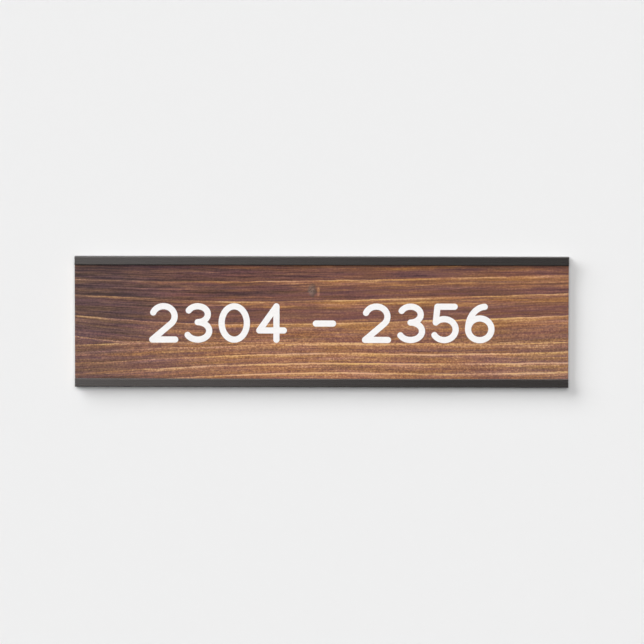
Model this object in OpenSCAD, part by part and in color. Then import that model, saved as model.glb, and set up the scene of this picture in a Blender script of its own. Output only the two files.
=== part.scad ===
// Wall-mounted door sign: a black extruded holder with open ends, and a thin
// wooden insert that slides along it behind two lips.
// Millimetres. X runs along the sign, +Z is up and the front faces -Y.
// The origin is the centre of the back, on the plane of the wall.

/* [Insert] */
// Length of the wooden insert
insert_l = 254; // [150:1:400]
// Height of the wooden insert
insert_h = 63.5; // [60:0.5:120]
// Thickness of the stained face ply
face_ply_t = 0.6; // [0.4:0.1:1.2]
// Thickness of the cross-grained core ply
core_ply_t = 0.8; // [0.4:0.1:2]
// Thickness of the back ply
back_ply_t = 0.6; // [0.4:0.1:1.2]
// Radius of the insert's eased corners
insert_corner_r = 1; // [0.5:0.1:2]

/* [Fit of the insert in the holder] */
// Gap in front of the insert, and again behind it
insert_face_gap = 0.1; // [0.05:0.05:0.3]
// Gap under the insert, which sits in the lower rail
insert_seat_gap = 0.1; // [0.05:0.05:0.3]
// Gap over the insert, under the upper rail
insert_head_gap = 0.5; // [0.2:0.1:1]
// How far the insert stops short of each end of the holder
insert_end_gap = 0; // [0:0.1:2]

/* [Holder] */
// Thickness of the back web
web_t = 2.4; // [2:0.1:4]
// Thickness of the top and bottom walls
rail_wall_t = 1.6; // [1.2:0.1:3]
// Thickness of the front lips
lip_t = 1.4; // [1.2:0.1:2.5]
// How far each lip reaches in from its wall
lip_reach = 2.8; // [1.5:0.1:4]
// Radius of the outer edges and of the lips' free edges
edge_r = 0.5; // [0.2:0.05:0.55]
// Radius inside the corners of the slot
slot_r = 0.2; // [0.1:0.05:0.3]
// Width of the V groove that guides the drill along the front of the web
guide_groove_w = 1; // [0.6:0.1:2]

/* [Foam tape] */
// Width of each strip of tape
tape_w = 19; // [10:0.5:20]
// Thickness of the tape, pressed flush with the back
tape_t = 0.8; // [0.5:0.1:1.2]
// How far the tape stops short of each end of the holder
tape_end_gap = 3; // [1:0.5:15]
// Gap between the tape and each side of its recess
tape_side_gap = 0.3; // [0.1:0.1:1]
// Height of the bare land along the top and bottom edges of the back
edge_land_h = 5; // [4:0.5:8]

/* [Screw holes] */
// Distance of each hole from its end of the holder
screw_inset = 27; // [15:0.1:60]
// Diameter of the holes
screw_hole_d = 4.2; // [3.2:0.1:4.8]
// Diameter of the countersinks at the front of the web
screw_head_d = 7.4; // [6.4:0.1:7.8]

/* [Hidden] */
$fn = 64;
// How far a cut runs on past the face that it opens
overcut = 1;

insert_t = face_ply_t + core_ply_t + back_ply_t;
slot_d = insert_t + 2 * insert_face_gap;
slot_h = insert_h + insert_seat_gap + insert_head_gap;
slot_front = web_t + slot_d;
holder_l = insert_l + 2 * insert_end_gap;
holder_d = slot_front + lip_t;
holder_h = slot_h + 2 * rail_wall_t;

insert_depth = web_t + insert_face_gap;
insert_z = -slot_h / 2 + insert_seat_gap;

recess_h = tape_w + 2 * tape_side_gap;
recess_z = holder_h / 2 - edge_land_h - recess_h / 2;
tape_l = holder_l - 2 * tape_end_gap;

screw_x = holder_l / 2 - screw_inset;
countersink_d = (screw_head_d - screw_hole_d) / 2;

// Turns an upright piece so that it points forward, out of the wall
module pointing_forward() {
  rotate([90, 0, 0])
    children();
}

// Extrudes along the sign a section drawn as (depth from the wall, height)
module along_sign(length) {
  rotate([90, 0, -90])
    linear_extrude(height = length, center = true)
      children();
}

// A rectangle with rounded corners, drawn up and to the right of the origin
module rounded_rectangle(w, h, r) {
  translate([r, 0])
    square([w - 2 * r, h]);
  translate([0, r])
    square([w, h - 2 * r]);
  for (x = [r, w - r], y = [r, h - r])
    translate([x, y])
      circle(r = r);
}

// The lower rail from its end: a floor that stands out from the wall, and the
// lip that turns up from it in front of the slot
module rail_section() {
  difference() {
    union() {
      rounded_rectangle(holder_d, rail_wall_t, edge_r);
      translate([0, edge_r])
        square([slot_front, rail_wall_t + slot_r - edge_r]);
      translate([slot_front, 0])
        rounded_rectangle(lip_t, rail_wall_t + lip_reach, edge_r);
    }
    translate([web_t, rail_wall_t])
      rounded_rectangle(slot_d, lip_reach, slot_r);
  }
}

// The web from its end, with a recess for each tape and the drill guide groove
module web_section() {
  difference() {
    translate([0, -slot_h / 2])
      square([web_t, slot_h]);
    for (side = [-1, 1])
      translate([-overcut, side * recess_z - recess_h / 2])
        square([overcut + tape_t, recess_h]);
    translate([web_t, 0])
      rotate(45)
        square(guide_groove_w / sqrt(2), center = true);
  }
}

module holder_section() {
  web_section();
  for (side = [0, 1])
    mirror([0, side])
      translate([0, -holder_h / 2])
        rail_section();
}

// A through hole, countersunk from the front of the web
module screw_hole() {
  pointing_forward() {
    translate([0, 0, -overcut])
      cylinder(d = screw_hole_d, h = web_t + 2 * overcut);
    translate([0, 0, web_t - countersink_d])
      cylinder(d1 = screw_hole_d, d2 = screw_head_d, h = countersink_d);
  }
}

module holder_channel() {
  color("#2b2a2a")
    difference() {
      along_sign(holder_l)
        holder_section();
      for (side = [-1, 1])
        translate([side * screw_x, 0, 0])
          screw_hole();
    }
}

// One layer of the insert, with its back at a depth in front of the wall
module ply(depth, thickness) {
  translate([-insert_l / 2, -depth, insert_z])
    pointing_forward()
      linear_extrude(height = thickness)
        rounded_rectangle(insert_l, insert_h, insert_corner_r);
}

module insert_back_ply() {
  color("#c9a06c")
    ply(insert_depth, back_ply_t);
}

module insert_core_ply() {
  color("#a9794a")
    ply(insert_depth + back_ply_t, core_ply_t);
}

module insert_face_ply() {
  color("#7a4a2b")
    ply(insert_depth + back_ply_t + core_ply_t, face_ply_t);
}

// One strip of foam tape, which fills the depth of its recess
module foam_tape(z) {
  color("#dcdad4")
    translate([-tape_l / 2, -tape_t, z - tape_w / 2])
      cube([tape_l, tape_t, tape_w]);
}

module upper_foam_tape() {
  foam_tape(recess_z);
}

module lower_foam_tape() {
  foam_tape(-recess_z);
}

holder_channel();
insert_face_ply();
insert_core_ply();
insert_back_ply();
upper_foam_tape();
lower_foam_tape();
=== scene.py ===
# %% [markdown]
# # A wooden door sign
# The sign is a black extruded holder on a wall, with a thin wooden insert that slides along it
# behind two lips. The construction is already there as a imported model, the frame, so this lesson
# only dresses it: it paints the wood, blackens the metal, lays the white figures on the face and
# makes the foam tape on the back. Everything is in metres, in the frame's own axes: X runs along
# the sign, Z is up and the face looks along -Y, out of the wall at y = 0.

# %% Load the frame
from math import cos, pi, radians, sin

import bmesh
import bpy
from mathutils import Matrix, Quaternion, Vector
from mathutils.geometry import delaunay_2d_cdt


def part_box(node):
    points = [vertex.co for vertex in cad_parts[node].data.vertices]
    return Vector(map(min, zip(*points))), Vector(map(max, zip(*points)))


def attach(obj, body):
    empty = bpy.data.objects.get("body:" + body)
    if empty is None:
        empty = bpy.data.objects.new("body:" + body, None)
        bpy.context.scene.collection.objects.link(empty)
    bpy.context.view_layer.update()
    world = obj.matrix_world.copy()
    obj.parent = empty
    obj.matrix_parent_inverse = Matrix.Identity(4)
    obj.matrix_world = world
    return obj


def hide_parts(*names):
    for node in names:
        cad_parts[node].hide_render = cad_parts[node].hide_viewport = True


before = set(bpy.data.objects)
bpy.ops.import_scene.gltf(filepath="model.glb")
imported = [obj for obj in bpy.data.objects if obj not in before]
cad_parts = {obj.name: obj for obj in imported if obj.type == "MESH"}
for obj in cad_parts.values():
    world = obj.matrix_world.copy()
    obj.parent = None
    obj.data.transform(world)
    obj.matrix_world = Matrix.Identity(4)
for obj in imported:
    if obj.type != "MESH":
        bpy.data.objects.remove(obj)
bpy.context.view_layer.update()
MM = 0.001
scene = bpy.context.scene
scene.view_settings.view_transform = "Standard"
holder_low, holder_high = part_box("holder_channel")
print("holder in mm:", [round(side / MM, 2) for side in holder_high - holder_low])

# %% [markdown]
# ## The camera
# The sign was photographed almost square on, from a little above, with a long lens: its top rail
# looks only a quarter of a percent longer than its bottom rail, and its ends show no step between
# the rails and the wood, which lies deeper. Both set the distance and the height of the camera,
# and the lens follows from the width of wall that the picture has to show.

# %% Place the camera
SENSOR_WIDTH = 36.0
view_width = 331.1 * MM
camera_distance = 2.2
camera_azimuth = radians(0.32)
camera_elevation = radians(4.7)
camera_roll = radians(0.094)
aim_right = 0.21 * MM
aim_up = 0.12 * MM

towards_camera = Vector((
    sin(camera_azimuth) * cos(camera_elevation),
    -cos(camera_azimuth) * cos(camera_elevation),
    sin(camera_elevation),
))
aim = Vector((aim_right, holder_low.y, aim_up))
camera_data = bpy.data.cameras.new("camera")
camera_data.sensor_width = SENSOR_WIDTH
camera_data.lens = SENSOR_WIDTH * camera_distance / view_width
camera = bpy.data.objects.new("camera", camera_data)
scene.collection.objects.link(camera)
camera.location = aim + camera_distance * towards_camera
level_view = (-towards_camera).to_track_quat("-Z", "Y")
camera.rotation_mode = "QUATERNION"
camera.rotation_quaternion = level_view @ Quaternion((0, 0, 1), camera_roll)
scene.camera = camera
print("lens:", round(camera_data.lens, 1), "mm at", camera_distance, "m")

# %% [markdown]
# ## The wall
# The wall is only the stage: a large pale plane just behind the sign. Its material is painted on
# the room's side and transparent on the other, so a camera behind the wall sees the back of the
# sign. A ray that came through the wall once counts as such, and for that ray the wall stays
# open: the light behind the wall then reaches the sign's back too, and never the room.
# Every material here is a tree of nodes, so three helpers come first: one adds any node and sets
# or links its inputs, one does arithmetic, and one starts an empty material.

# %% Helpers for node trees
def add_node(tree, kind, inputs=None, **settings):
    """Adds a node, sets its properties, and sets or links its inputs."""
    node = tree.nodes.new(kind)
    for name, value in settings.items():
        setattr(node, name, value)
    for socket, value in (inputs or {}).items():
        if isinstance(value, bpy.types.NodeSocket):
            tree.links.new(value, node.inputs[socket])
        else:
            node.inputs[socket].default_value = value
    return node


def math_node(tree, operation, *values):
    """A Math node on numbers or sockets; returns its result."""
    return add_node(tree, "ShaderNodeMath", dict(enumerate(values)), operation=operation).outputs[0]


def new_material(name):
    """An empty node material with its output; returns (material, tree, output)."""
    material = bpy.data.materials.new(name)
    material.use_nodes = True
    tree = material.node_tree
    tree.nodes.clear()
    return material, tree, add_node(tree, "ShaderNodeOutputMaterial")


print("node helpers:", [helper.__name__ for helper in (add_node, math_node, new_material)])

# %% Build the wall
WALL_HALF = 2.5
WALL_GAP = 0.05 * MM
WALL_COLOUR = (0.886, 0.886, 0.886, 1)
MOTTLE_SCALE = 900.0
MOTTLE_STRENGTH = 0.02
MOTTLE_DEPTH = 0.2 * MM


def build_wall():
    """A square plane just behind the sign, facing the room."""
    signs = ((-1, -1), (1, -1), (1, 1), (-1, 1))
    corners = [(x * WALL_HALF, WALL_GAP, z * WALL_HALF) for x, z in signs]
    mesh = bpy.data.meshes.new("wall")
    mesh.from_pydata(corners, [], [(0, 1, 2, 3)])
    wall = bpy.data.objects.new("wall", mesh)
    scene.collection.objects.link(wall)
    return wall


def wall_paint():
    """Matt pale paint on the room's side, and nothing on the other."""
    material, tree, output = new_material("wall_paint")
    mottle = add_node(tree, "ShaderNodeTexNoise", {"Scale": MOTTLE_SCALE, "Detail": 3.0})
    bump = add_node(tree, "ShaderNodeBump", {
        "Height": mottle.outputs[0], "Strength": MOTTLE_STRENGTH, "Distance": MOTTLE_DEPTH,
    })
    paint = add_node(tree, "ShaderNodeBsdfDiffuse", {"Color": WALL_COLOUR, "Normal": bump.outputs[0]})
    clear = add_node(tree, "ShaderNodeBsdfTransparent")
    side = add_node(tree, "ShaderNodeNewGeometry")
    path = add_node(tree, "ShaderNodeLightPath")
    came_through = math_node(tree, "GREATER_THAN", path.outputs["Transparent Depth"], 0.5)
    is_open = math_node(tree, "MAXIMUM", side.outputs["Backfacing"], came_through)
    mix = add_node(tree, "ShaderNodeMixShader", {0: is_open, 1: paint.outputs[0], 2: clear.outputs[0]})
    tree.links.new(mix.outputs[0], output.inputs["Surface"])
    return material


wall = build_wall()
wall.data.materials.append(wall_paint())
print("wall normal:", [round(n, 2) for n in wall.data.polygons[0].normal])

# %% [markdown]
# ## The light
# In the photograph the wall is evenly bright, and the sign throws a soft shadow to the right and
# below. How that shadow fades tells where the light is: some comes from a broad window high on the
# left, and the rest from a wide soft light round the camera. The window is an area lamp far in front
# of the wall, and the soft light is a wide sun, kept out of the gloss, as a photographer does with
# crossed polarisers. What the gloss sees instead is a card on the left, so the rails fade from left
# to right, and a strip overhead, which draws a thin light line along the upper edge of each rail.
# Card and strip light nothing else. A lamp behind the wall serves the views of the back.

# %% Helpers for lamps
WINDOW_DISTANCE = 40.0


def add_lamp(name, kind, place, aim, **settings):
    """A lamp that shines from a place towards a point."""
    data = bpy.data.lights.new(name, kind)
    for setting, value in settings.items():
        setattr(data, setting, value)
    lamp = bpy.data.objects.new(name, data)
    scene.collection.objects.link(lamp)
    lamp.location = place
    lamp.rotation_mode = "QUATERNION"
    lamp.rotation_quaternion = (Vector(place) - Vector(aim)).to_track_quat("Z", "Y")
    lamp.visible_camera = False
    return lamp


def add_window(name, sides, radiance):
    """A window parallel to the wall: its left, right, bottom and top, per metre of its distance."""
    left, right, bottom, top = sides
    width = (right - left) * WINDOW_DISTANCE
    height = (top - bottom) * WINDOW_DISTANCE
    middle = Vector((left + right, 0, bottom + top)) * WINDOW_DISTANCE / 2
    place = middle - Vector((0, WINDOW_DISTANCE, 0))
    power = radiance * pi * width * height
    outline = {"shape": "RECTANGLE", "size": width, "size_y": height}
    return add_lamp(name, "AREA", place, middle, energy=power, **outline)


print("windows stand", WINDOW_DISTANCE, "m in front of the wall")

# %% Set the lights
SIGN_CENTRE = (0, 0, 0)
WINDOW_SIDES = (-3.9, -0.65, 0.52, 2.8)
WINDOW_RADIANCE = 6.7
FILL_PLACE = (0.03, -1, 0.24)
FILL_STRENGTH = 1.85
FILL_SPREAD = radians(38)
CARD_SIDES = (-1.1, -0.026, 0.0, 1.2)
CARD_RADIANCE = 4.9
STRIP_SIDES = (-3.0, 3.0, 1.6, 6.0)
STRIP_RADIANCE = 8.0
BACK_PLACE = (0.9, 2.4, 1.6)
BACK_SIDE = 2.2
BACK_POWER = 115

add_window("window", WINDOW_SIDES, WINDOW_RADIANCE)
fill = add_lamp("fill", "SUN", FILL_PLACE, SIGN_CENTRE, energy=FILL_STRENGTH, angle=FILL_SPREAD)
fill.visible_glossy = False
card = add_window("card", CARD_SIDES, CARD_RADIANCE)
overhead = add_window("strip", STRIP_SIDES, STRIP_RADIANCE)
for gloss_only in (card, overhead):
    gloss_only.visible_diffuse = False
add_lamp("back_panel", "AREA", BACK_PLACE, SIGN_CENTRE, size=BACK_SIDE, energy=BACK_POWER)

# %% [markdown]
# ## The sky
# A real shadow gets a little light from everywhere, and gloss needs something pale to look at. Both
# come from an even sky, which is simpler than a room of walls. Its strength depends on the ray that
# meets it: weak for a ray that carries light to the sign, stronger for one from the camera or the
# gloss.

# %% Build the sky
SKY_STRENGTH = 0.02
BACKGROUND_STRENGTH = 0.5


def build_sky():
    """An even sky: weak as a light, and pale grey where the camera or the gloss looks at it."""
    world = bpy.data.worlds.new("sky")
    world.use_nodes = True
    tree = world.node_tree
    tree.nodes.clear()
    path = add_node(tree, "ShaderNodeLightPath")
    seen = math_node(tree, "ADD", path.outputs["Is Camera Ray"], path.outputs["Is Glossy Ray"])
    seen = math_node(tree, "ADD", seen, path.outputs["Is Transmission Ray"])
    levels = {"Value": seen, "To Min": SKY_STRENGTH, "To Max": BACKGROUND_STRENGTH}
    strength = add_node(tree, "ShaderNodeMapRange", levels).outputs[0]
    sky = add_node(tree, "ShaderNodeBackground", {"Color": (1, 1, 1, 1), "Strength": strength})
    output = add_node(tree, "ShaderNodeOutputWorld")
    tree.links.new(sky.outputs[0], output.inputs["Surface"])
    return world


scene.world = build_sky()
print("world:", scene.world.name)

# %% [markdown]
# ## Shared effects
# Several finishes of this sign need the same three effects: streaks that run along the grain or
# along the drawing lines of the metal, wear on edges, and a little dust on what faces up. Each is
# a node group, built once and placed in every material with its own values. Places are read in
# millimetres from Object coordinates: each piece keeps its place in its mesh, so the pattern
# stays on the piece when it slides.

# %% Helpers for groups and places
def new_group(name, inputs, outputs):
    """An empty node group with named sockets; returns (group, its inputs, its output node)."""
    group = bpy.data.node_groups.new(name, "ShaderNodeTree")
    for socket, (kind, value) in inputs.items():
        group.interface.new_socket(socket, in_out="INPUT", socket_type=kind).default_value = value
    for socket in outputs:
        group.interface.new_socket(socket, in_out="OUTPUT", socket_type="NodeSocketFloat")
    entry = add_node(group, "NodeGroupInput")
    return group, entry.outputs, add_node(group, "NodeGroupOutput")


def place_in_mm(tree):
    """Where a point of the surface lies, in millimetres."""
    coordinates = add_node(tree, "ShaderNodeTexCoord")
    inputs = {0: coordinates.outputs["Object"], "Scale": 1 / MM}
    return add_node(tree, "ShaderNodeVectorMath", inputs, operation="SCALE").outputs[0]


def parts_of(tree, vector):
    """The X, Y and Z of a vector."""
    return add_node(tree, "ShaderNodeSeparateXYZ", {0: vector}).outputs[:]


def smooth_step(tree, value, start, end, low=0.0, high=1.0):
    """A soft step from low to high while the value goes from start to end."""
    inputs = {"Value": value, "From Min": start, "From Max": end, "To Min": low, "To Max": high}
    return add_node(tree, "ShaderNodeMapRange", inputs, interpolation_type="SMOOTHSTEP").outputs[0]


def noise(tree, place, scale, detail):
    """Cloudy noise; the scale is the number of clouds in one unit of place."""
    inputs = {"Vector": place, "Scale": scale, "Detail": detail}
    return add_node(tree, "ShaderNodeTexNoise", inputs).outputs[0]


print("place helpers:", [helper.__name__ for helper in (place_in_mm, parts_of, smooth_step, noise)])

# %% [markdown]
# ## The three groups
# Streaks are noise, read at a place that is divided by the length and the width of one streak. Wear
# is found on edges, where a normal that is rounded off differs from the true one, and noise breaks
# it up into patches. Dust lies where the surface faces up. Masks painted by hand would belong to one
# shape only, and these find their place on any piece.

# %% Build the shared groups
PLACE_SOCKET = ("NodeSocketVector", (0, 0, 0))
STREAK_ROUGHNESS = 0.55
BEVEL_SAMPLES = 6
DUST_SCALE = 0.35


def build_streaks():
    """Noise drawn out along X: Length and Width are the size of one streak in millimetres."""
    group, given, output = new_group("streaks", {
        "Place": PLACE_SOCKET,
        "Length": ("NodeSocketFloat", 40.0),
        "Width": ("NodeSocketFloat", 0.5),
    }, ["Streak"])
    sides = {0: given["Length"], 1: given["Width"], 2: given["Width"]}
    size = add_node(group, "ShaderNodeCombineXYZ", sides).outputs[0]
    place = add_node(group, "ShaderNodeVectorMath", {0: given["Place"], 1: size}, operation="DIVIDE")
    drawn_out = add_node(group, "ShaderNodeTexNoise", {
        "Vector": place.outputs[0], "Scale": 1.0, "Detail": 3.0, "Roughness": STREAK_ROUGHNESS,
    })
    group.links.new(drawn_out.outputs[0], output.inputs["Streak"])
    return group


def build_edge_wear():
    """Finds edges by comparing the surface's normal with one that is rounded off over Radius."""
    group, given, output = new_group("edge_wear", {
        "Place": PLACE_SOCKET,
        "Radius": ("NodeSocketFloat", 0.0004),
        "Patch": ("NodeSocketFloat", 3.0),
    }, ["Mask"])
    rounded = add_node(group, "ShaderNodeBevel", {"Radius": given["Radius"]}, samples=BEVEL_SAMPLES)
    surface = add_node(group, "ShaderNodeNewGeometry")
    normals = {0: rounded.outputs[0], 1: surface.outputs["Normal"]}
    match = add_node(group, "ShaderNodeVectorMath", normals, operation="DOT_PRODUCT").outputs["Value"]
    edge = smooth_step(group, match, 0.995, 0.9)
    per_patch = math_node(group, "DIVIDE", 1.0, given["Patch"])
    worn = smooth_step(group, noise(group, given["Place"], scale=per_patch, detail=4.0), 0.42, 0.68)
    group.links.new(math_node(group, "MULTIPLY", edge, worn), output.inputs["Mask"])
    return group


def build_dust():
    """A thin uneven film on what faces up."""
    group, given, output = new_group("dust", {"Place": PLACE_SOCKET}, ["Mask"])
    surface = add_node(group, "ShaderNodeNewGeometry")
    upward = smooth_step(group, parts_of(group, surface.outputs["Normal"])[2], 0.3, 0.95)
    cover = smooth_step(group, noise(group, given["Place"], scale=DUST_SCALE, detail=5.0), 0.3, 0.75)
    group.links.new(math_node(group, "MULTIPLY", upward, cover), output.inputs["Mask"])
    return group


streaks_group = build_streaks()
edge_wear_group = build_edge_wear()
dust_group = build_dust()
print("shared groups:", [group.name for group in bpy.data.node_groups])

# %% [markdown]
# ## Finishes in general
# Each finish of the sign is made in the same way: masks from the shared groups are weighed against
# each other, colours are laid over each other where a mask says so, and a Principled shader with a
# fine bump ends the tree. The helpers here do these steps, so a finish reads as a short recipe.

# %% Helpers for finishes
def streaks(tree, place, length, width):
    """The streaks group, placed in a material."""
    inputs = {"Place": place, "Length": length, "Width": width}
    return add_node(tree, "ShaderNodeGroup", inputs, node_tree=streaks_group).outputs[0]


def edge_wear(tree, place, radius, patch):
    """The edge wear group, placed in a material."""
    inputs = {"Place": place, "Radius": radius, "Patch": patch}
    return add_node(tree, "ShaderNodeGroup", inputs, node_tree=edge_wear_group).outputs[0]


def dust(tree, place):
    """The dust group, placed in a material."""
    return add_node(tree, "ShaderNodeGroup", {"Place": place}, node_tree=dust_group).outputs[0]


def weigh(tree, *shares, start=0.0):
    """Adds values to a start, each times its weight."""
    total = start
    for value, weight in shares:
        total = math_node(tree, "MULTIPLY_ADD", value, weight, total)
    return total


def mix_colour(tree, factor, first, second, blend="MIX"):
    """A colour between two colours or sockets; the factor is held between 0 and 1."""
    inputs = {"Factor": factor, 6: first, 7: second}
    return add_node(tree, "ShaderNodeMix", inputs, data_type="RGBA", blend_type=blend).outputs[2]


def lay_over(tree, colour, mask, top, cover):
    """Lays a top colour over another where a mask says, with the given cover."""
    return mix_colour(tree, math_node(tree, "MULTIPLY", mask, cover), colour, top)


def end_material(tree, output, inputs, height, strength, depth):
    """Ends a tree with a Principled shader, its inputs, and a bump."""
    bump = add_node(tree, "ShaderNodeBump", {"Height": height, "Strength": strength, "Distance": depth})
    shader = add_node(tree, "ShaderNodeBsdfPrincipled", {**inputs, "Normal": bump.outputs[0]})
    tree.links.new(shader.outputs[0], output.inputs["Surface"])


print("finish helpers:", [helper.__name__ for helper in (weigh, mix_colour, lay_over, end_material)])

# %% [markdown]
# ## The black holder
# The holder is an aluminium extrusion, anodised black. Drawing it through the die leaves fine lines
# along its length, so its gloss spreads across those lines more than along them: that is
# anisotropy, with the tangent taken around the X axis. The dye under the skin is not quite neutral:
# it gives the gloss a slightly warm tint. The CAD piece already has the right shape, so it stays and
# only gets this finish. Here and below, a streak's size is its length and its width in millimetres.

# %% Paint the holder
FINE_LINE = (90.0, 0.06)
DIE_LINE = (600.0, 0.5)
BLACK_DEEP = (0.0065, 0.0055, 0.0052, 1)
BLACK_PALE = (0.0155, 0.0137, 0.0130, 1)
BARE_METAL = (0.12, 0.115, 0.11, 1)
METAL_DUST = (0.4, 0.38, 0.35, 1)
GLOSS_TINT = (1.0, 0.93, 0.90, 1)
GLOSS_STRETCH = 0.97


def black_anodised():
    """Satin black with drawing lines, worn edges and a little dust."""
    material, tree, output = new_material("black_anodised")
    place = place_in_mm(tree)
    fine_lines = streaks(tree, place, *FINE_LINE)
    die_lines = streaks(tree, place, *DIE_LINE)
    lines = weigh(tree, (die_lines, 0.4), (fine_lines, 0.6))
    grain = noise(tree, place, scale=6.0, detail=4.0)
    wear = edge_wear(tree, place, radius=0.25 * MM, patch=4.0)
    colour = mix_colour(tree, lines, BLACK_DEEP, BLACK_PALE)
    colour = lay_over(tree, colour, wear, BARE_METAL, cover=0.35)
    colour = lay_over(tree, colour, dust(tree, place), METAL_DUST, cover=0.05)
    tangent = add_node(tree, "ShaderNodeTangent", direction_type="RADIAL", axis="X")
    height = weigh(tree, (grain, 0.08), start=lines)
    end_material(tree, output, {
        "Base Color": colour,
        "Roughness": weigh(tree, (lines, 0.05), start=0.25),
        "Specular Tint": GLOSS_TINT,
        "Anisotropic": GLOSS_STRETCH,
        "Tangent": tangent.outputs[0],
    }, height=height, strength=0.15, depth=0.02 * MM)
    return material


def dress(node, material):
    """Gives a CAD piece a finish through its object's own material slot."""
    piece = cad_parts[node]
    if not piece.material_slots:
        piece.data.materials.append(None)
    for slot in piece.material_slots:
        slot.link = "OBJECT"
        slot.material = material
    print(node, "has the finish", material.name)


dress("holder_channel", black_anodised())

# %% [markdown]
# ## The growth lines
# The face is flat-sawn softwood under a brown stain. Each year shows as a thin light line, golden
# wood just below it, and wood that darkens down to the next line. Noise alone gives some wood, but
# not this plank, so each growth line is drawn as a curve along the sign, with a little noise to make
# it sway and shiver. A point then knows which year it lies in, how far through that year, and how far
# below its line. The table has one row for each line: its strength at the left and at the right, and
# then points along it, in millimetres from the middle of the sign.

# %% Draw the growth lines
PLANK_HALF = 127.0
PLANK_SPAN = 80.0
LINE_CORE = 0.3
LINE_FADE = 1.2
SWAY_SIZE = (26.0, 9.0)
SWAY_HEIGHT = 1.3
SHIVER_SIZE = (5.0, 3.0)
SHIVER_HEIGHT = 0.5
GROWTH_LINES = (
    (0.0, 0.0, ((-127, 32.5), (-63, 31), (0, 30), (66, 30), (127, 30.3))),
    (0.75, 0.8, ((-127, 22.2), (-63, 21), (0, 21.5), (66, 23), (127, 24.5))),
    (0.8, 0.8, ((-127, 14), (-63, 11), (0, 11), (66, 13), (127, 15))),
    (1.0, 0.75, ((-127, 3.5), (-63, -1), (0, -0.5), (66, 1.4), (127, 3.6))),
    (0.9, 0.4, ((-127, -7.3), (-105, -9.8), (-63, -10.3), (0, -10.6), (66, -10.8), (127, -9.2))),
    (0.2, 0.2, ((-127, -12.4), (-88, -10.8), (-63, -10.8), (0, -10.8), (66, -11), (127, -10))),
    (0.2, 0.75, ((-127, -16), (-63, -12.8), (0, -11), (66, -11.2), (127, -10.2))),
    (0.3, 0.9, ((-127, -21.7), (-63, -18.2), (0, -16), (66, -16.4), (127, -14.9))),
    (0.5, 1.0, ((-127, -27), (-63, -23), (0, -21.2), (66, -21.3), (127, -20.6))),
    (0.9, 1.3, ((-127, -32), (-75, -28.7), (-63, -28.3), (-36, -26.8), (0, -26), (66, -26.4), (127, -25.4))),
    (0.0, 0.0, ((-127, -38), (127, -34))),
)


def centred(tree, value, middle=0.5):
    """A value less its middle, so that it goes up and down from 0."""
    return math_node(tree, "SUBTRACT", value, middle)


def draw_growth_line(tree, share, points):
    """One line as a curve along the plank; heights go from 0 at the bottom to 1 at the top."""
    node = add_node(tree, "ShaderNodeFloatCurve", {"Value": share})
    curve = node.mapping.curves[0]
    while len(curve.points) < len(points):
        curve.points.new(0.5, 0.5)
    for point, (x, z) in zip(curve.points, points):
        point.location = ((x + PLANK_HALF) / (2 * PLANK_HALF), z / PLANK_SPAN + 0.5)
    node.mapping.update()
    return node.outputs[0]


def growth_years(tree, place, along, up):
    """For a point: its year, how far through it (0 to 1), mm below its line, and the line's mark."""
    sway = centred(tree, streaks(tree, place, *SWAY_SIZE))
    shiver = centred(tree, streaks(tree, place, *SHIVER_SIZE))
    height = weigh(tree, (sway, SWAY_HEIGHT), (shiver, SHIVER_HEIGHT), start=up)
    height = weigh(tree, (height, 1 / PLANK_SPAN), start=0.5)
    share = weigh(tree, (along, 0.5 / PLANK_HALF), start=0.5)
    lines = [draw_growth_line(tree, share, points) for _, _, points in GROWTH_LINES]
    below = 1.0
    mark = 0.0
    for line, (left, right, _) in zip(lines, GROWTH_LINES):
        drop = math_node(tree, "SUBTRACT", line, height)
        drop = math_node(tree, "ADD", drop, math_node(tree, "LESS_THAN", drop, 0.0))
        below = math_node(tree, "MINIMUM", below, drop)
        fade = smooth_step(tree, drop, LINE_FADE / PLANK_SPAN, LINE_CORE / PLANK_SPAN)
        strength = smooth_step(tree, along, -150, 70, low=left, high=right)
        mark = math_node(tree, "MAXIMUM", mark, math_node(tree, "MULTIPLY", fade, strength))
    year = 0.0
    for upper, lower in zip(lines, lines[1:]):
        inputs = {"Value": height, "From Min": upper, "From Max": lower}
        passed = add_node(tree, "ShaderNodeMapRange", inputs).outputs[0]
        year = math_node(tree, "ADD", year, passed)
    below = math_node(tree, "MULTIPLY", below, PLANK_SPAN)
    return math_node(tree, "FLOOR", year), math_node(tree, "FRACT", year), below, mark


print("growth lines:", len(GROWTH_LINES), "with", sum(len(row[2]) for row in GROWTH_LINES), "points")

# %% [markdown]
# ## The stain
# The stain took more at the top left, and the lower middle stayed golden. It is not one colour
# either: a warm ramp and a cool ramp from dark to pale are mixed, cool at the left end and the lower
# right, and a tint leans to olive in the pale bands and to plum between them. A painted picture of
# this would fit one face only; soft steps along and up the sign say the same in a few numbers. Next
# to the lips the wood is painted darker: painted shade, where the lips shade the face.

# %% Mix the stain
WARM_STAIN = (
    (0.0, (0.052, 0.022, 0.018, 1)),
    (0.25, (0.125, 0.052, 0.038, 1)),
    (0.5, (0.215, 0.085, 0.050, 1)),
    (0.75, (0.420, 0.185, 0.078, 1)),
    (1.0, (0.740, 0.420, 0.190, 1)),
)
COOL_STAIN = (
    (0.0, (0.046, 0.026, 0.026, 1)),
    (0.25, (0.105, 0.056, 0.050, 1)),
    (0.5, (0.185, 0.098, 0.074, 1)),
    (0.75, (0.355, 0.190, 0.118, 1)),
    (1.0, (0.680, 0.430, 0.250, 1)),
)
OLIVE_TINT = (1.055, 1.075, 0.81, 1)
PLUM_TINT = (0.955, 0.93, 1.21, 1)
BAND_STREAK = (30.0, 3.0)
COOL_STREAK = (40.0, 1.5)
TINT_STREAK = (34.0, 1.8)
EVEN_LEAN = 0.52
# The lips' edge, and how far the painted shade beside each lip reaches, in millimetres.
LIP_EDGE = 29.2
UPPER_SHADE_REACH = 2.8
UPPER_SHADE_FULL = 0.4
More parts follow.
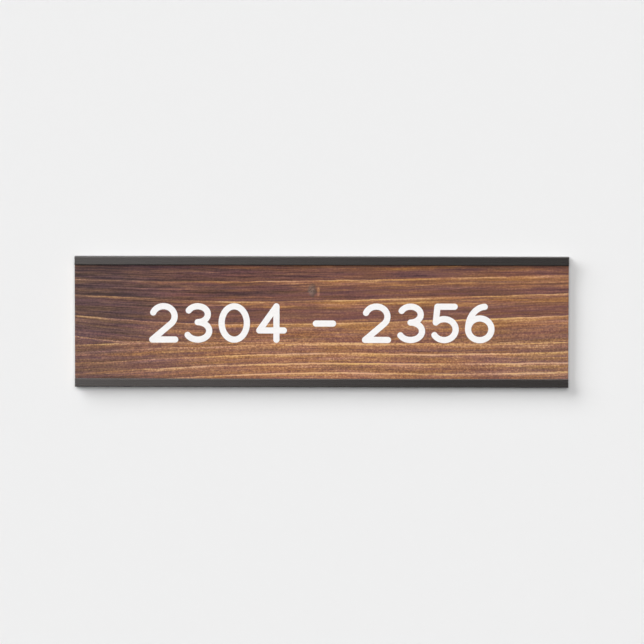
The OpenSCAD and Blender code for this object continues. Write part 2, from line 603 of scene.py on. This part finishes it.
LOWER_SHADE_REACH = 2.4
LOWER_SHADE_FULL = 0.2


def tone_ramp(tree, tone, stops):
    """A colour ramp from a tone between 0 and 1."""
    node = add_node(tree, "ShaderNodeValToRGB", {"Fac": tone})
    elements = node.color_ramp.elements
    while len(elements) < len(stops):
        elements.new(0.5)
    for element, (position, colour) in zip(elements, stops):
        element.position = position
        element.color = colour
    return node.outputs[0]


def broad_stain(tree, along, up):
    """How the stain took over the whole plank: dark at the top left, golden in the lower middle."""
    rise = smooth_step(tree, along, -150, 60, low=0.195, high=0.465)
    lower = smooth_step(tree, up, 22, -18)
    full_lift = smooth_step(tree, along, -125, -60, low=0.24, high=0.34)
    right_loss = smooth_step(tree, along, -60, 90, high=0.19)
    return weigh(tree, (lower, math_node(tree, "SUBTRACT", full_lift, right_loss)), start=rise)


def golden_band(tree, along, part, grain_place):
    """The pale early wood below each growth line: broad at the right, thin at the left."""
    ripple = centred(tree, streaks(tree, grain_place, *BAND_STREAK))
    thinner = smooth_step(tree, along, 110, -110, low=-0.12, high=0.2)
    reach = math_node(tree, "ADD", part, thinner)
    return smooth_step(tree, weigh(tree, (ripple, 0.7), start=reach), 0.55, 0.2)


def coolness(tree, along, up, grain_place):
    """How much of the cool stain shows: most at the upper left, some at the lower right, in streaks."""
    ripple = centred(tree, streaks(tree, grain_place, *COOL_STREAK))
    left_end = smooth_step(tree, along, -30, -115, low=0.25, high=0.75)
    far_left = smooth_step(tree, along, -80, -125)
    far_right = smooth_step(tree, along, 50, 135, high=0.4)
    upper = smooth_step(tree, up, -15, 0, high=0.3)
    lower = smooth_step(tree, up, 5, -15)
    return weigh(tree, (far_left, upper), (far_right, lower), (ripple, 1.6), start=left_end)


def stain_tint(tree, along, up, band, grain_place):
    """A tint to multiply by: olive in the upper pale bands, plum between them, and both in streaks."""
    ripple = centred(tree, streaks(tree, grain_place, *TINT_STREAK))
    left = smooth_step(tree, along, -70, -115)
    lower_left = math_node(tree, "MULTIPLY", left, smooth_step(tree, up, 0, -15))
    upper_band = math_node(tree, "MULTIPLY", centred(tree, band, 0.4), smooth_step(tree, up, -12, 4))
    pull = smooth_step(tree, along, -120, 0, low=-0.05, high=-0.4)
    lean = weigh(tree, (ripple, 3.2), (lower_left, -0.12), (upper_band, pull), start=EVEN_LEAN)
    return mix_colour(tree, lean, OLIVE_TINT, PLUM_TINT)


def painted_lip_shade(tree, along, up):
    """Painted shade beside the lips: at the top towards the right, and all along the bottom."""
    upper = smooth_step(tree, up, LIP_EDGE - UPPER_SHADE_REACH, LIP_EDGE - UPPER_SHADE_FULL)
    upper = math_node(tree, "MULTIPLY", upper, smooth_step(tree, along, -110, 80, high=1.1))
    lower = smooth_step(tree, up, LOWER_SHADE_REACH - LIP_EDGE, LOWER_SHADE_FULL - LIP_EDGE)
    return math_node(tree, "MAXIMUM", upper, lower)


print("stain ramps:", len(WARM_STAIN), "warm and", len(COOL_STAIN), "cool stops")

# %% [markdown]
# ## A pin knot
# Above the middle of the sign a side shoot left a small ragged mark with a dark rim on one side, and
# a short pale streak stands beside it. Both are ovals: the distance from an oval's middle, roughened
# by the same speckle as the wood, is cut into masks for the core and its rim.

# %% Mark the pin knot
KNOT_DARK = (0.110, 0.078, 0.062, 1)
KNOT_PALE = (0.270, 0.190, 0.155, 1)
KNOT_RIM = (0.085, 0.060, 0.048, 1)
KNOT_PLACE = (-5.2, 16.3)
KNOT_HALF = (2.2, 3.0)
STREAK_PLACE = (-1.7, 15.7)
STREAK_HALF = (0.9, 2.9)
KNOT_RAGGED = 1.4
RIM_START = -6.0
RIM_FULL = -4.0


def oval(tree, along, up, place, half):
    """How far a point lies from an oval's middle: 0 there, and 1 on the oval's edge."""
    squares = 0.0
    for value, middle, reach in zip((along, up), place, half):
        out = math_node(tree, "DIVIDE", centred(tree, value, middle), reach)
        squares = weigh(tree, (out, out), start=squares)
    return math_node(tree, "SQRT", squares)


def pin_knot(tree, along, up, speckle):
    """Masks of the knot's core, of its rim on the right, and of the pale streak beside it."""
    out = weigh(tree, (speckle, KNOT_RAGGED), start=oval(tree, along, up, KNOT_PLACE, KNOT_HALF))
    core = smooth_step(tree, out, 1.15, 0.55)
    ring = math_node(tree, "MULTIPLY", smooth_step(tree, out, 0.6, 0.9), smooth_step(tree, out, 1.35, 1.0))
    rim = math_node(tree, "MULTIPLY", ring, smooth_step(tree, along, RIM_START, RIM_FULL))
    streak = smooth_step(tree, oval(tree, along, up, STREAK_PLACE, STREAK_HALF), 1.15, 0.5)
    return core, rim, streak


def lay_knot(tree, colour, core, rim, speckle):
    """Lays the knot's speckled core and its rim over the wood."""
    knot = mix_colour(tree, smooth_step(tree, speckle, -0.1, 0.12), KNOT_DARK, KNOT_PALE)
    colour = lay_over(tree, colour, core, knot, cover=0.65)
    return lay_over(tree, colour, rim, KNOT_RIM, cover=0.6)


print("pin knot:", [2 * half for half in KNOT_HALF], "mm at", KNOT_PLACE)

# %% [markdown]
# ## The stained face
# Now the face is put together. Its tone starts from the broad stain, and grain, speckle, bands,
# lines and painted shade beside the lips are added, each with its weight. Grain is laid along the
# years, so that it follows the growth lines: its place is the distance along the sign and the
# distance below the line, moved on for each year so that no two years look alike. The tone then
# picks a colour from the ramps, the tint is multiplied in, and the knot is laid on top.

# %% Stain the face
YEAR_SHIFT = 37.0
COARSE_GRAIN = (60.0, 2.2)
FINE_GRAIN = (30.0, 0.8)
FIBRE = (6.0, 0.45)
SPECKLE = (0.9, 0.7)
LINE_STREAK = (30.0, 9.0)
YEAR_WEIGHT = -0.08
LIP_SHADE_WEIGHT = -0.15
KNOT_STREAK_WEIGHT = 0.3


def grain_detail(tree, grain_place, fibres):
    """Coarse and fine grain along the years, and fibres."""
    coarse = centred(tree, streaks(tree, grain_place, *COARSE_GRAIN))
    fine = centred(tree, streaks(tree, grain_place, *FINE_GRAIN))
    return weigh(tree, (coarse, 0.7), (fine, 1.1), (centred(tree, fibres), 0.55))


def stained_pine():
    """The face of the insert."""
    material, tree, output = new_material("stained_pine")
    place = place_in_mm(tree)
    along, _, up = parts_of(tree, place)
    year, part, below, mark = growth_years(tree, place, along, up)
    level = weigh(tree, (year, YEAR_SHIFT), start=below)
    grain_place = add_node(tree, "ShaderNodeCombineXYZ", {0: along, 1: level}).outputs[0]
    fibres = streaks(tree, place, *FIBRE)
    speckle = centred(tree, streaks(tree, place, *SPECKLE))
    band = golden_band(tree, along, part, grain_place)
    broad = broad_stain(tree, along, up)
    core, rim, pale_streak = pin_knot(tree, along, up, speckle)
    line_streak = streaks(tree, grain_place, *LINE_STREAK)
    tone = weigh(
        tree,
        (grain_detail(tree, grain_place, fibres), smooth_step(tree, broad, 0.25, 0.65, low=1.3, high=0.65)),
        (speckle, smooth_step(tree, up, 8, -12, low=0.5, high=0.9)),
        (centred(tree, band, 0.35), smooth_step(tree, up, -12, 4, low=0.08, high=0.17)),
        (centred(tree, part), YEAR_WEIGHT),
        (mark, smooth_step(tree, line_streak, 0.3, 0.65, low=0.18, high=0.31)),
        # painted shade beside the lips darkens the tone there
        (painted_lip_shade(tree, along, up), LIP_SHADE_WEIGHT),
        (pale_streak, KNOT_STREAK_WEIGHT),
        start=broad,
    )
    warm = tone_ramp(tree, tone, WARM_STAIN)
    cool = tone_ramp(tree, tone, COOL_STAIN)
    colour = mix_colour(tree, coolness(tree, along, up, grain_place), warm, cool)
    tint = stain_tint(tree, along, up, band, grain_place)
    colour = mix_colour(tree, 1.0, colour, tint, blend="MULTIPLY")
    end_material(tree, output, {
        "Base Color": lay_knot(tree, colour, core, rim, speckle),
        "Roughness": weigh(tree, (fibres, 0.12), start=0.5),
        "Specular IOR Level": 0.15,
    }, height=fibres, strength=0.2, depth=0.03 * MM)
    return material


dress("insert_face_ply", stained_pine())

# %% [markdown]
# ## The bare plies
# Behind the face lie two bare plies, which show at the ends of the sign and when the insert is slid
# out. The middle one has its grain across the sign, which keeps the thin sheet flat, so its ends
# show long fibres. Both use the same streaks as the face: for the cross-grained ply the place is
# turned a quarter turn before it enters the group.

# %% Finish the plies
CORE_PALE = (0.46, 0.30, 0.16, 1)
CORE_DARK = (0.27, 0.15, 0.07, 1)
BACK_PALE = (0.64, 0.45, 0.27, 1)
BACK_DARK = (0.44, 0.27, 0.13, 1)
PLY_BAND = (180.0, 5.0)
PLY_FIBRE = (9.0, 0.3)
PLY_FLECK = (2.2, 0.16)


def turned_place(tree, place):
    """The place with its length along Z, for grain that runs up the sign."""
    along, depth, up = parts_of(tree, place)
    return add_node(tree, "ShaderNodeCombineXYZ", {0: up, 1: along, 2: depth}).outputs[0]


def bare_ply(name, pale, dark, across):
    """Unstained wood with its grain along the sign, or across it."""
    material, tree, output = new_material(name)
    place = place_in_mm(tree)
    if across:
        place = turned_place(tree, place)
    bands = smooth_step(tree, streaks(tree, place, *PLY_BAND), 0.35, 0.65)
    fibres = streaks(tree, place, *PLY_FIBRE)
    flecks = smooth_step(tree, streaks(tree, place, *PLY_FLECK), 0.6, 0.75)
    tone = weigh(tree, (fibres, 0.5), (bands, 0.55), (flecks, 0.2))
    wear = edge_wear(tree, place, radius=0.2 * MM, patch=2.0)
    colour = lay_over(tree, mix_colour(tree, tone, pale, dark), wear, dark, cover=0.3)
    end_material(tree, output, {
        "Base Color": colour,
        "Roughness": weigh(tree, (fibres, 0.15), start=0.62),
        "Specular IOR Level": 0.25,
    }, height=fibres, strength=0.4, depth=0.05 * MM)
    return material


dress("insert_core_ply", bare_ply("bare_core_ply", CORE_PALE, CORE_DARK, across=True))
dress("insert_back_ply", bare_ply("bare_back_ply", BACK_PALE, BACK_DARK, across=False))

# %% [markdown]
# ## The strokes of the figures
# The sign carries white figures with round strokes: here plain room numbers. A text object would
# need a font file, so each figure is drawn as a few strokes, made of straight runs and parts of
# ellipses, in millimetres from the figure's middle. Every stroke is widened to an outline with round
# ends.

# %% Draw the strokes
CAP_HALF = 8.6
STROKE = 3.2
ARC_STEP = 6


def bend(x, z, radius_x, radius_z, start, end):
    """Points on part of an ellipse, from one angle to another in degrees."""
    count = max(2, round(abs(end - start) / ARC_STEP))
    angles = [radians(start + (end - start) * i / count) for i in range(count + 1)]
    return [(x + radius_x * cos(a), z + radius_z * sin(a)) for a in angles]


def straight(*corners):
    """A stroke along one straight run."""
    return list(corners)


five_bowl = bend(-0.3, -3.2, 5.9, 5.4, 137, -148)
FIGURES = {
    "0": [bend(0, 0, 6.5, CAP_HALF, 90, 270), bend(0, 0, 6.5, CAP_HALF, -90, 90)],
    "2": [
        bend(0, 3.4, 5.7, 5.2, 158, -44) + [(-5.8, -CAP_HALF)],
        straight((-5.8, -CAP_HALF), (6.0, -CAP_HALF)),
    ],
    "3": [bend(-0.4, 4.5, 5.2, 4.1, 152, -90), bend(-0.4, -4.1, 5.9, 4.5, 90, -152)],
    "4": [
        straight((2.4, CAP_HALF), (-6.4, -3.8)),
        straight((-6.4, -3.8), (6.2, -3.8)),
        straight((2.4, CAP_HALF), (2.4, -CAP_HALF)),
    ],
    "5": [
        straight((5.0, CAP_HALF), (-3.8, CAP_HALF)),
        straight((-3.8, CAP_HALF), five_bowl[0]),
        five_bowl,
    ],
    "6": [
        bend(2.8, -3.0, 8.8, 11.6, 180, 92),
        bend(0, -3.0, 6.0, 5.6, 0, 180),
        bend(0, -3.0, 6.0, 5.6, 180, 360),
    ],
    "-": [straight((-4.4, -0.2), (4.4, -0.2))],
}


def turned(side, degrees):
    """A step to the side, turned clockwise."""
    return Quaternion((0, 0, 1), -radians(degrees)).to_matrix().to_2x2() @ side


def widen(path):
    """The outline of a stroke, anticlockwise: both sides of its path and a half circle at each end."""
    points = [Vector(p) for p in path]
    last = len(points) - 1
    sides = []
    for i in range(last + 1):
        heading = (points[min(i + 1, last)] - points[max(i - 1, 0)]).normalized()
        sides.append(Vector((-heading.y, heading.x)) * STROKE / 2)
    turns = [i * ARC_STEP for i in range(1, round(180 / ARC_STEP))]
    end_cap = [points[-1] + turned(sides[-1], degrees) for degrees in turns]
    start_cap = [points[0] - turned(sides[0], degrees) for degrees in turns]
    left = [p + s for p, s in zip(points, sides)]
    right = [p - s for p, s in zip(points, sides)]
    return (left + end_cap + right[::-1] + start_cap)[::-1]


stroke_count = sum(len(strokes) for strokes in FIGURES.values())
print("figures drawn:", " ".join(FIGURES), "with", stroke_count, "strokes")

# %% [markdown]
# ## The white figures
# On the real sign the figures are a layer of ink that stands a little proud of the wood. The
# outlines of one figure's strokes overlap, and joining them by booleans would leave slivers, so they
# are joined by a constrained Delaunay triangulation, which gives one clean sheet. The sheet is then
# raised by the thickness of the ink, and the figures are set on one line.

# %% Helpers for the ink
LETTER_GAP = 3.2
WORD_GAP = 10.1
INK_THICKNESS = 0.06 * MM
JOIN_INSIDE = 1
JOIN_TOLERANCE = 1e-5
text_middle = Vector((0.1, -0.6))
face_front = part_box("insert_face_ply")[0].y


def ink_sheet(strokes):
    """One flat sheet from the joined outlines of some strokes: (points, triangles)."""
    outlines = [widen(path) for path in strokes]
    points = [p for outline in outlines for p in outline]
    faces = []
    first = 0
    for outline in outlines:
        faces.append(list(range(first, first + len(outline))))
        first += len(outline)
    joined, _, triangles, _, _, owners = delaunay_2d_cdt(points, [], faces, JOIN_INSIDE, JOIN_TOLERANCE)
    return joined, [t for t, owner in zip(triangles, owners) if owner]


def mesh_piece(name, shape):
    """Turns a finished bmesh into an object of the scene."""
    bmesh.ops.recalc_face_normals(shape, faces=shape.faces[:])
    mesh = bpy.data.meshes.new(name)
    shape.to_mesh(mesh)
    shape.free()
    piece = bpy.data.objects.new(name, mesh)
    scene.collection.objects.link(piece)
    return piece


def raise_ink(name, sheet, shift):
    """Turns a sheet into a thin layer on the face of the insert."""
    points, triangles = sheet
    shape = bmesh.new()
    corners = [shape.verts.new(((p.x + shift.x) * MM, face_front, (p.y + shift.y) * MM)) for p in points]
    for triangle in triangles:
        shape.faces.new([corners[i] for i in triangle])
    raised = bmesh.ops.extrude_face_region(shape, geom=shape.faces[:], use_keep_orig=True)
    lifted = [part for part in raised["geom"] if isinstance(part, bmesh.types.BMVert)]
    bmesh.ops.translate(shape, verts=lifted, vec=(0, -INK_THICKNESS, 0))
    return mesh_piece(name, shape)


def set_line(lettering):
    """Places the figures on one line: a list of (sheet, shift of its origin), and its length."""
    placed = []
    edge = 0.0
    for sign in lettering:
        if sign == " ":
            edge += WORD_GAP
            continue
        sheet = ink_sheet(FIGURES[sign])
        low = min(p.x for p in sheet[0])
        high = max(p.x for p in sheet[0])
        placed.append((sheet, edge - low))
        edge += high - low + LETTER_GAP
    length = edge - LETTER_GAP
    return [(sheet, Vector((x - length / 2, 0)) + text_middle) for sheet, x in placed], length


print("ink stands", round(INK_THICKNESS / MM, 3), "mm proud of y =", round(face_front / MM, 3), "mm")

# %% [markdown]
# ## The ink
# Ink on wood is matt and sinks a little into the grain, so it is thinner and greyer over open fibres.
# A plain white would look like paper. The finish therefore takes the fibres of the wood below it and
# some cloudy noise, for its colour and for a slight bump. All figures share this one finish and ride
# on the insert.

# %% Ink the figures
LETTERING = "2304 - 2356"
INK_FULL = (0.958, 0.939, 0.928, 1)
INK_THIN = (0.889, 0.861, 0.847, 1)


def white_ink():
    """Matt white ink that sank a little into the grain."""
    material, tree, output = new_material("white_ink")
    place = place_in_mm(tree)
    fibres = streaks(tree, place, *FIBRE)
    clouds = noise(tree, place, scale=1.4, detail=4.0)
    thin = weigh(tree, (clouds, 0.4), (fibres, 0.6))
    end_material(tree, output, {
        "Base Color": mix_colour(tree, smooth_step(tree, thin, 0.35, 0.75), INK_FULL, INK_THIN),
        "Roughness": weigh(tree, (thin, 0.2), start=0.5),
        "Specular IOR Level": 0.25,
    }, height=thin, strength=0.25, depth=0.03 * MM)
    return material


ink = white_ink()
line_of_figures, line_length = set_line(LETTERING)
for number, (sheet, shift) in enumerate(line_of_figures, start=1):
    figure = raise_ink(f"white_figure_{number}", sheet, shift)
    figure.data.materials.append(ink)
    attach(figure, "insert")
print("figures:", len(line_of_figures), "on a line of", round(line_length, 1), "mm")

# %% [markdown]
# ## The foam tape
# Two strips of double-sided foam tape hold the sign to the wall. Foam that was cut from a roll and
# pressed down has sides that bulge and ends that are not quite square, so each strip is lofted along
# the sign from one cross-section whose edges wander a little. The strips replace the plain CAD
# solids and stay within the recesses of the holder's back.

# %% Helpers for the strips
TAPE_STATION = 2 * MM
SIDE_BULGE = 0.14 * MM
EDGE_WANDER = 0.07 * MM
END_SLANT = 0.35 * MM
SIDE_POINTS = 5
UPPER_EDGE_PHASE = 1.9
WANDER_WAVES = ((210, 1.0), (97, 2.3), (531, 0.7))


def wander(x, phase):
    """A smooth wander between -1 and 1 along the strip: the mean of a few waves."""
    waves = [sin(rate * x + share * phase) for rate, share in WANDER_WAVES]
    return sum(waves) / len(waves)


def tape_section(low, high, x, phase):
    """One cross-section, from the recess's bottom round to it again."""
    lower = low.z + EDGE_WANDER * wander(x, phase)
    upper = high.z + EDGE_WANDER * wander(x, phase + UPPER_EDGE_PHASE)
    outwards = [i / (SIDE_POINTS - 1) for i in range(SIDE_POINTS)]
    section = []
    for edge, side, shares in ((lower, -1, outwards), (upper, 1, outwards[::-1])):
        for share in shares:
            bulge = side * SIDE_BULGE * sin(pi * share)
            section.append((low.y + share * (high.y - low.y), edge + bulge))
    return section


def foam_strip(name, node, phase):
    """A strip of tape in the place of a CAD solid."""
    low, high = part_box(node)
    count = round((high.x - low.x) / TAPE_STATION)
    slant_at = {0: END_SLANT, count: -END_SLANT}
    shape = bmesh.new()
    rings = []
    for i in range(count + 1):
        x = low.x + (high.x - low.x) * i / count
        ring = []
        for y, z in tape_section(low, high, x, phase):
            inset = slant_at.get(i, 0) * (z - low.z) / (high.z - low.z)
            ring.append(shape.verts.new((x + inset, y, z)))
        rings.append(ring)
    for first, second in zip(rings, rings[1:]):
        for i in range(len(first)):
            j = (i + 1) % len(first)
            shape.faces.new((first[i], first[j], second[j], second[i]))
    shape.faces.new(rings[0])
    shape.faces.new(rings[-1])
    return mesh_piece(name, shape)


print("tape sections:", 2 * SIDE_POINTS, "points every", round(TAPE_STATION / MM, 1), "mm")

# %% [markdown]
# ## The foam
# Tape foam is full of small closed cells, and its outer face carries a smooth film of adhesive. Cells
# are what a Voronoi texture draws, so a coarse and a fine one together give the foam. The film lies
# where the surface faces the wall: the normal tells that, so no second material is needed, and there
# the foam is smoother and blotched.

# %% Make the tape
STRIP_PHASES = ((0.4, "upper"), (3.1, "lower"))
CELLS_PER_MM = 3.2
SMALL_CELLS_PER_MM = 9.0
BLOTCHES_PER_MM = 0.12
FOAM_SHADE = (0.62, 0.60, 0.55, 1)
FOAM_LIGHT = (0.80, 0.78, 0.73, 1)
GLUE_PALE = (0.74, 0.72, 0.66, 1)
GLUE_DARK = (0.66, 0.63, 0.55, 1)
FOAM_DUST = (0.35, 0.33, 0.30, 1)


def foam_cells(tree, place, scale):
    """The distance to the middle of the nearest cell."""
    inputs = {"Vector": place, "Scale": scale, "Randomness": 1.0}
    return add_node(tree, "ShaderNodeTexVoronoi", inputs).outputs["Distance"]


def foam_tape():
    """Pale closed-cell foam; the outer face carries a smooth film of adhesive."""
    material, tree, output = new_material("foam_tape")
    place = place_in_mm(tree)
    cells = foam_cells(tree, place, CELLS_PER_MM)
    small_cells = foam_cells(tree, place, SMALL_CELLS_PER_MM)
    foam = weigh(tree, (small_cells, 0.4), (cells, 0.6))
    surface = add_node(tree, "ShaderNodeNewGeometry")
    film = smooth_step(tree, parts_of(tree, surface.outputs["Normal"])[1], 0.6, 0.95)
    clouds = noise(tree, place, scale=BLOTCHES_PER_MM, detail=5.0)
    glue = mix_colour(tree, smooth_step(tree, clouds, 0.35, 0.7), GLUE_PALE, GLUE_DARK)
    colour = mix_colour(tree, smooth_step(tree, foam, 0.15, 0.6), FOAM_SHADE, FOAM_LIGHT)
    colour = lay_over(tree, colour, film, glue, cover=0.6)
    colour = lay_over(tree, colour, dust(tree, place), FOAM_DUST, cover=0.3)
    end_material(tree, output, {
        "Base Color": colour,
        "Roughness": weigh(tree, (foam, 0.2), (film, -0.4), start=0.72),
        "Specular IOR Level": 0.4,
    }, height=foam, strength=0.35, depth=0.08 * MM)
    return material


foam_finish = foam_tape()
for phase, side in STRIP_PHASES:
    strip = foam_strip(f"{side}_foam_strip", f"{side}_foam_tape", phase)
    strip.data.materials.append(foam_finish)
    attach(strip, "holder")
    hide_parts(f"{side}_foam_tape")
    print(strip.name, "has", len(strip.data.polygons), "faces")
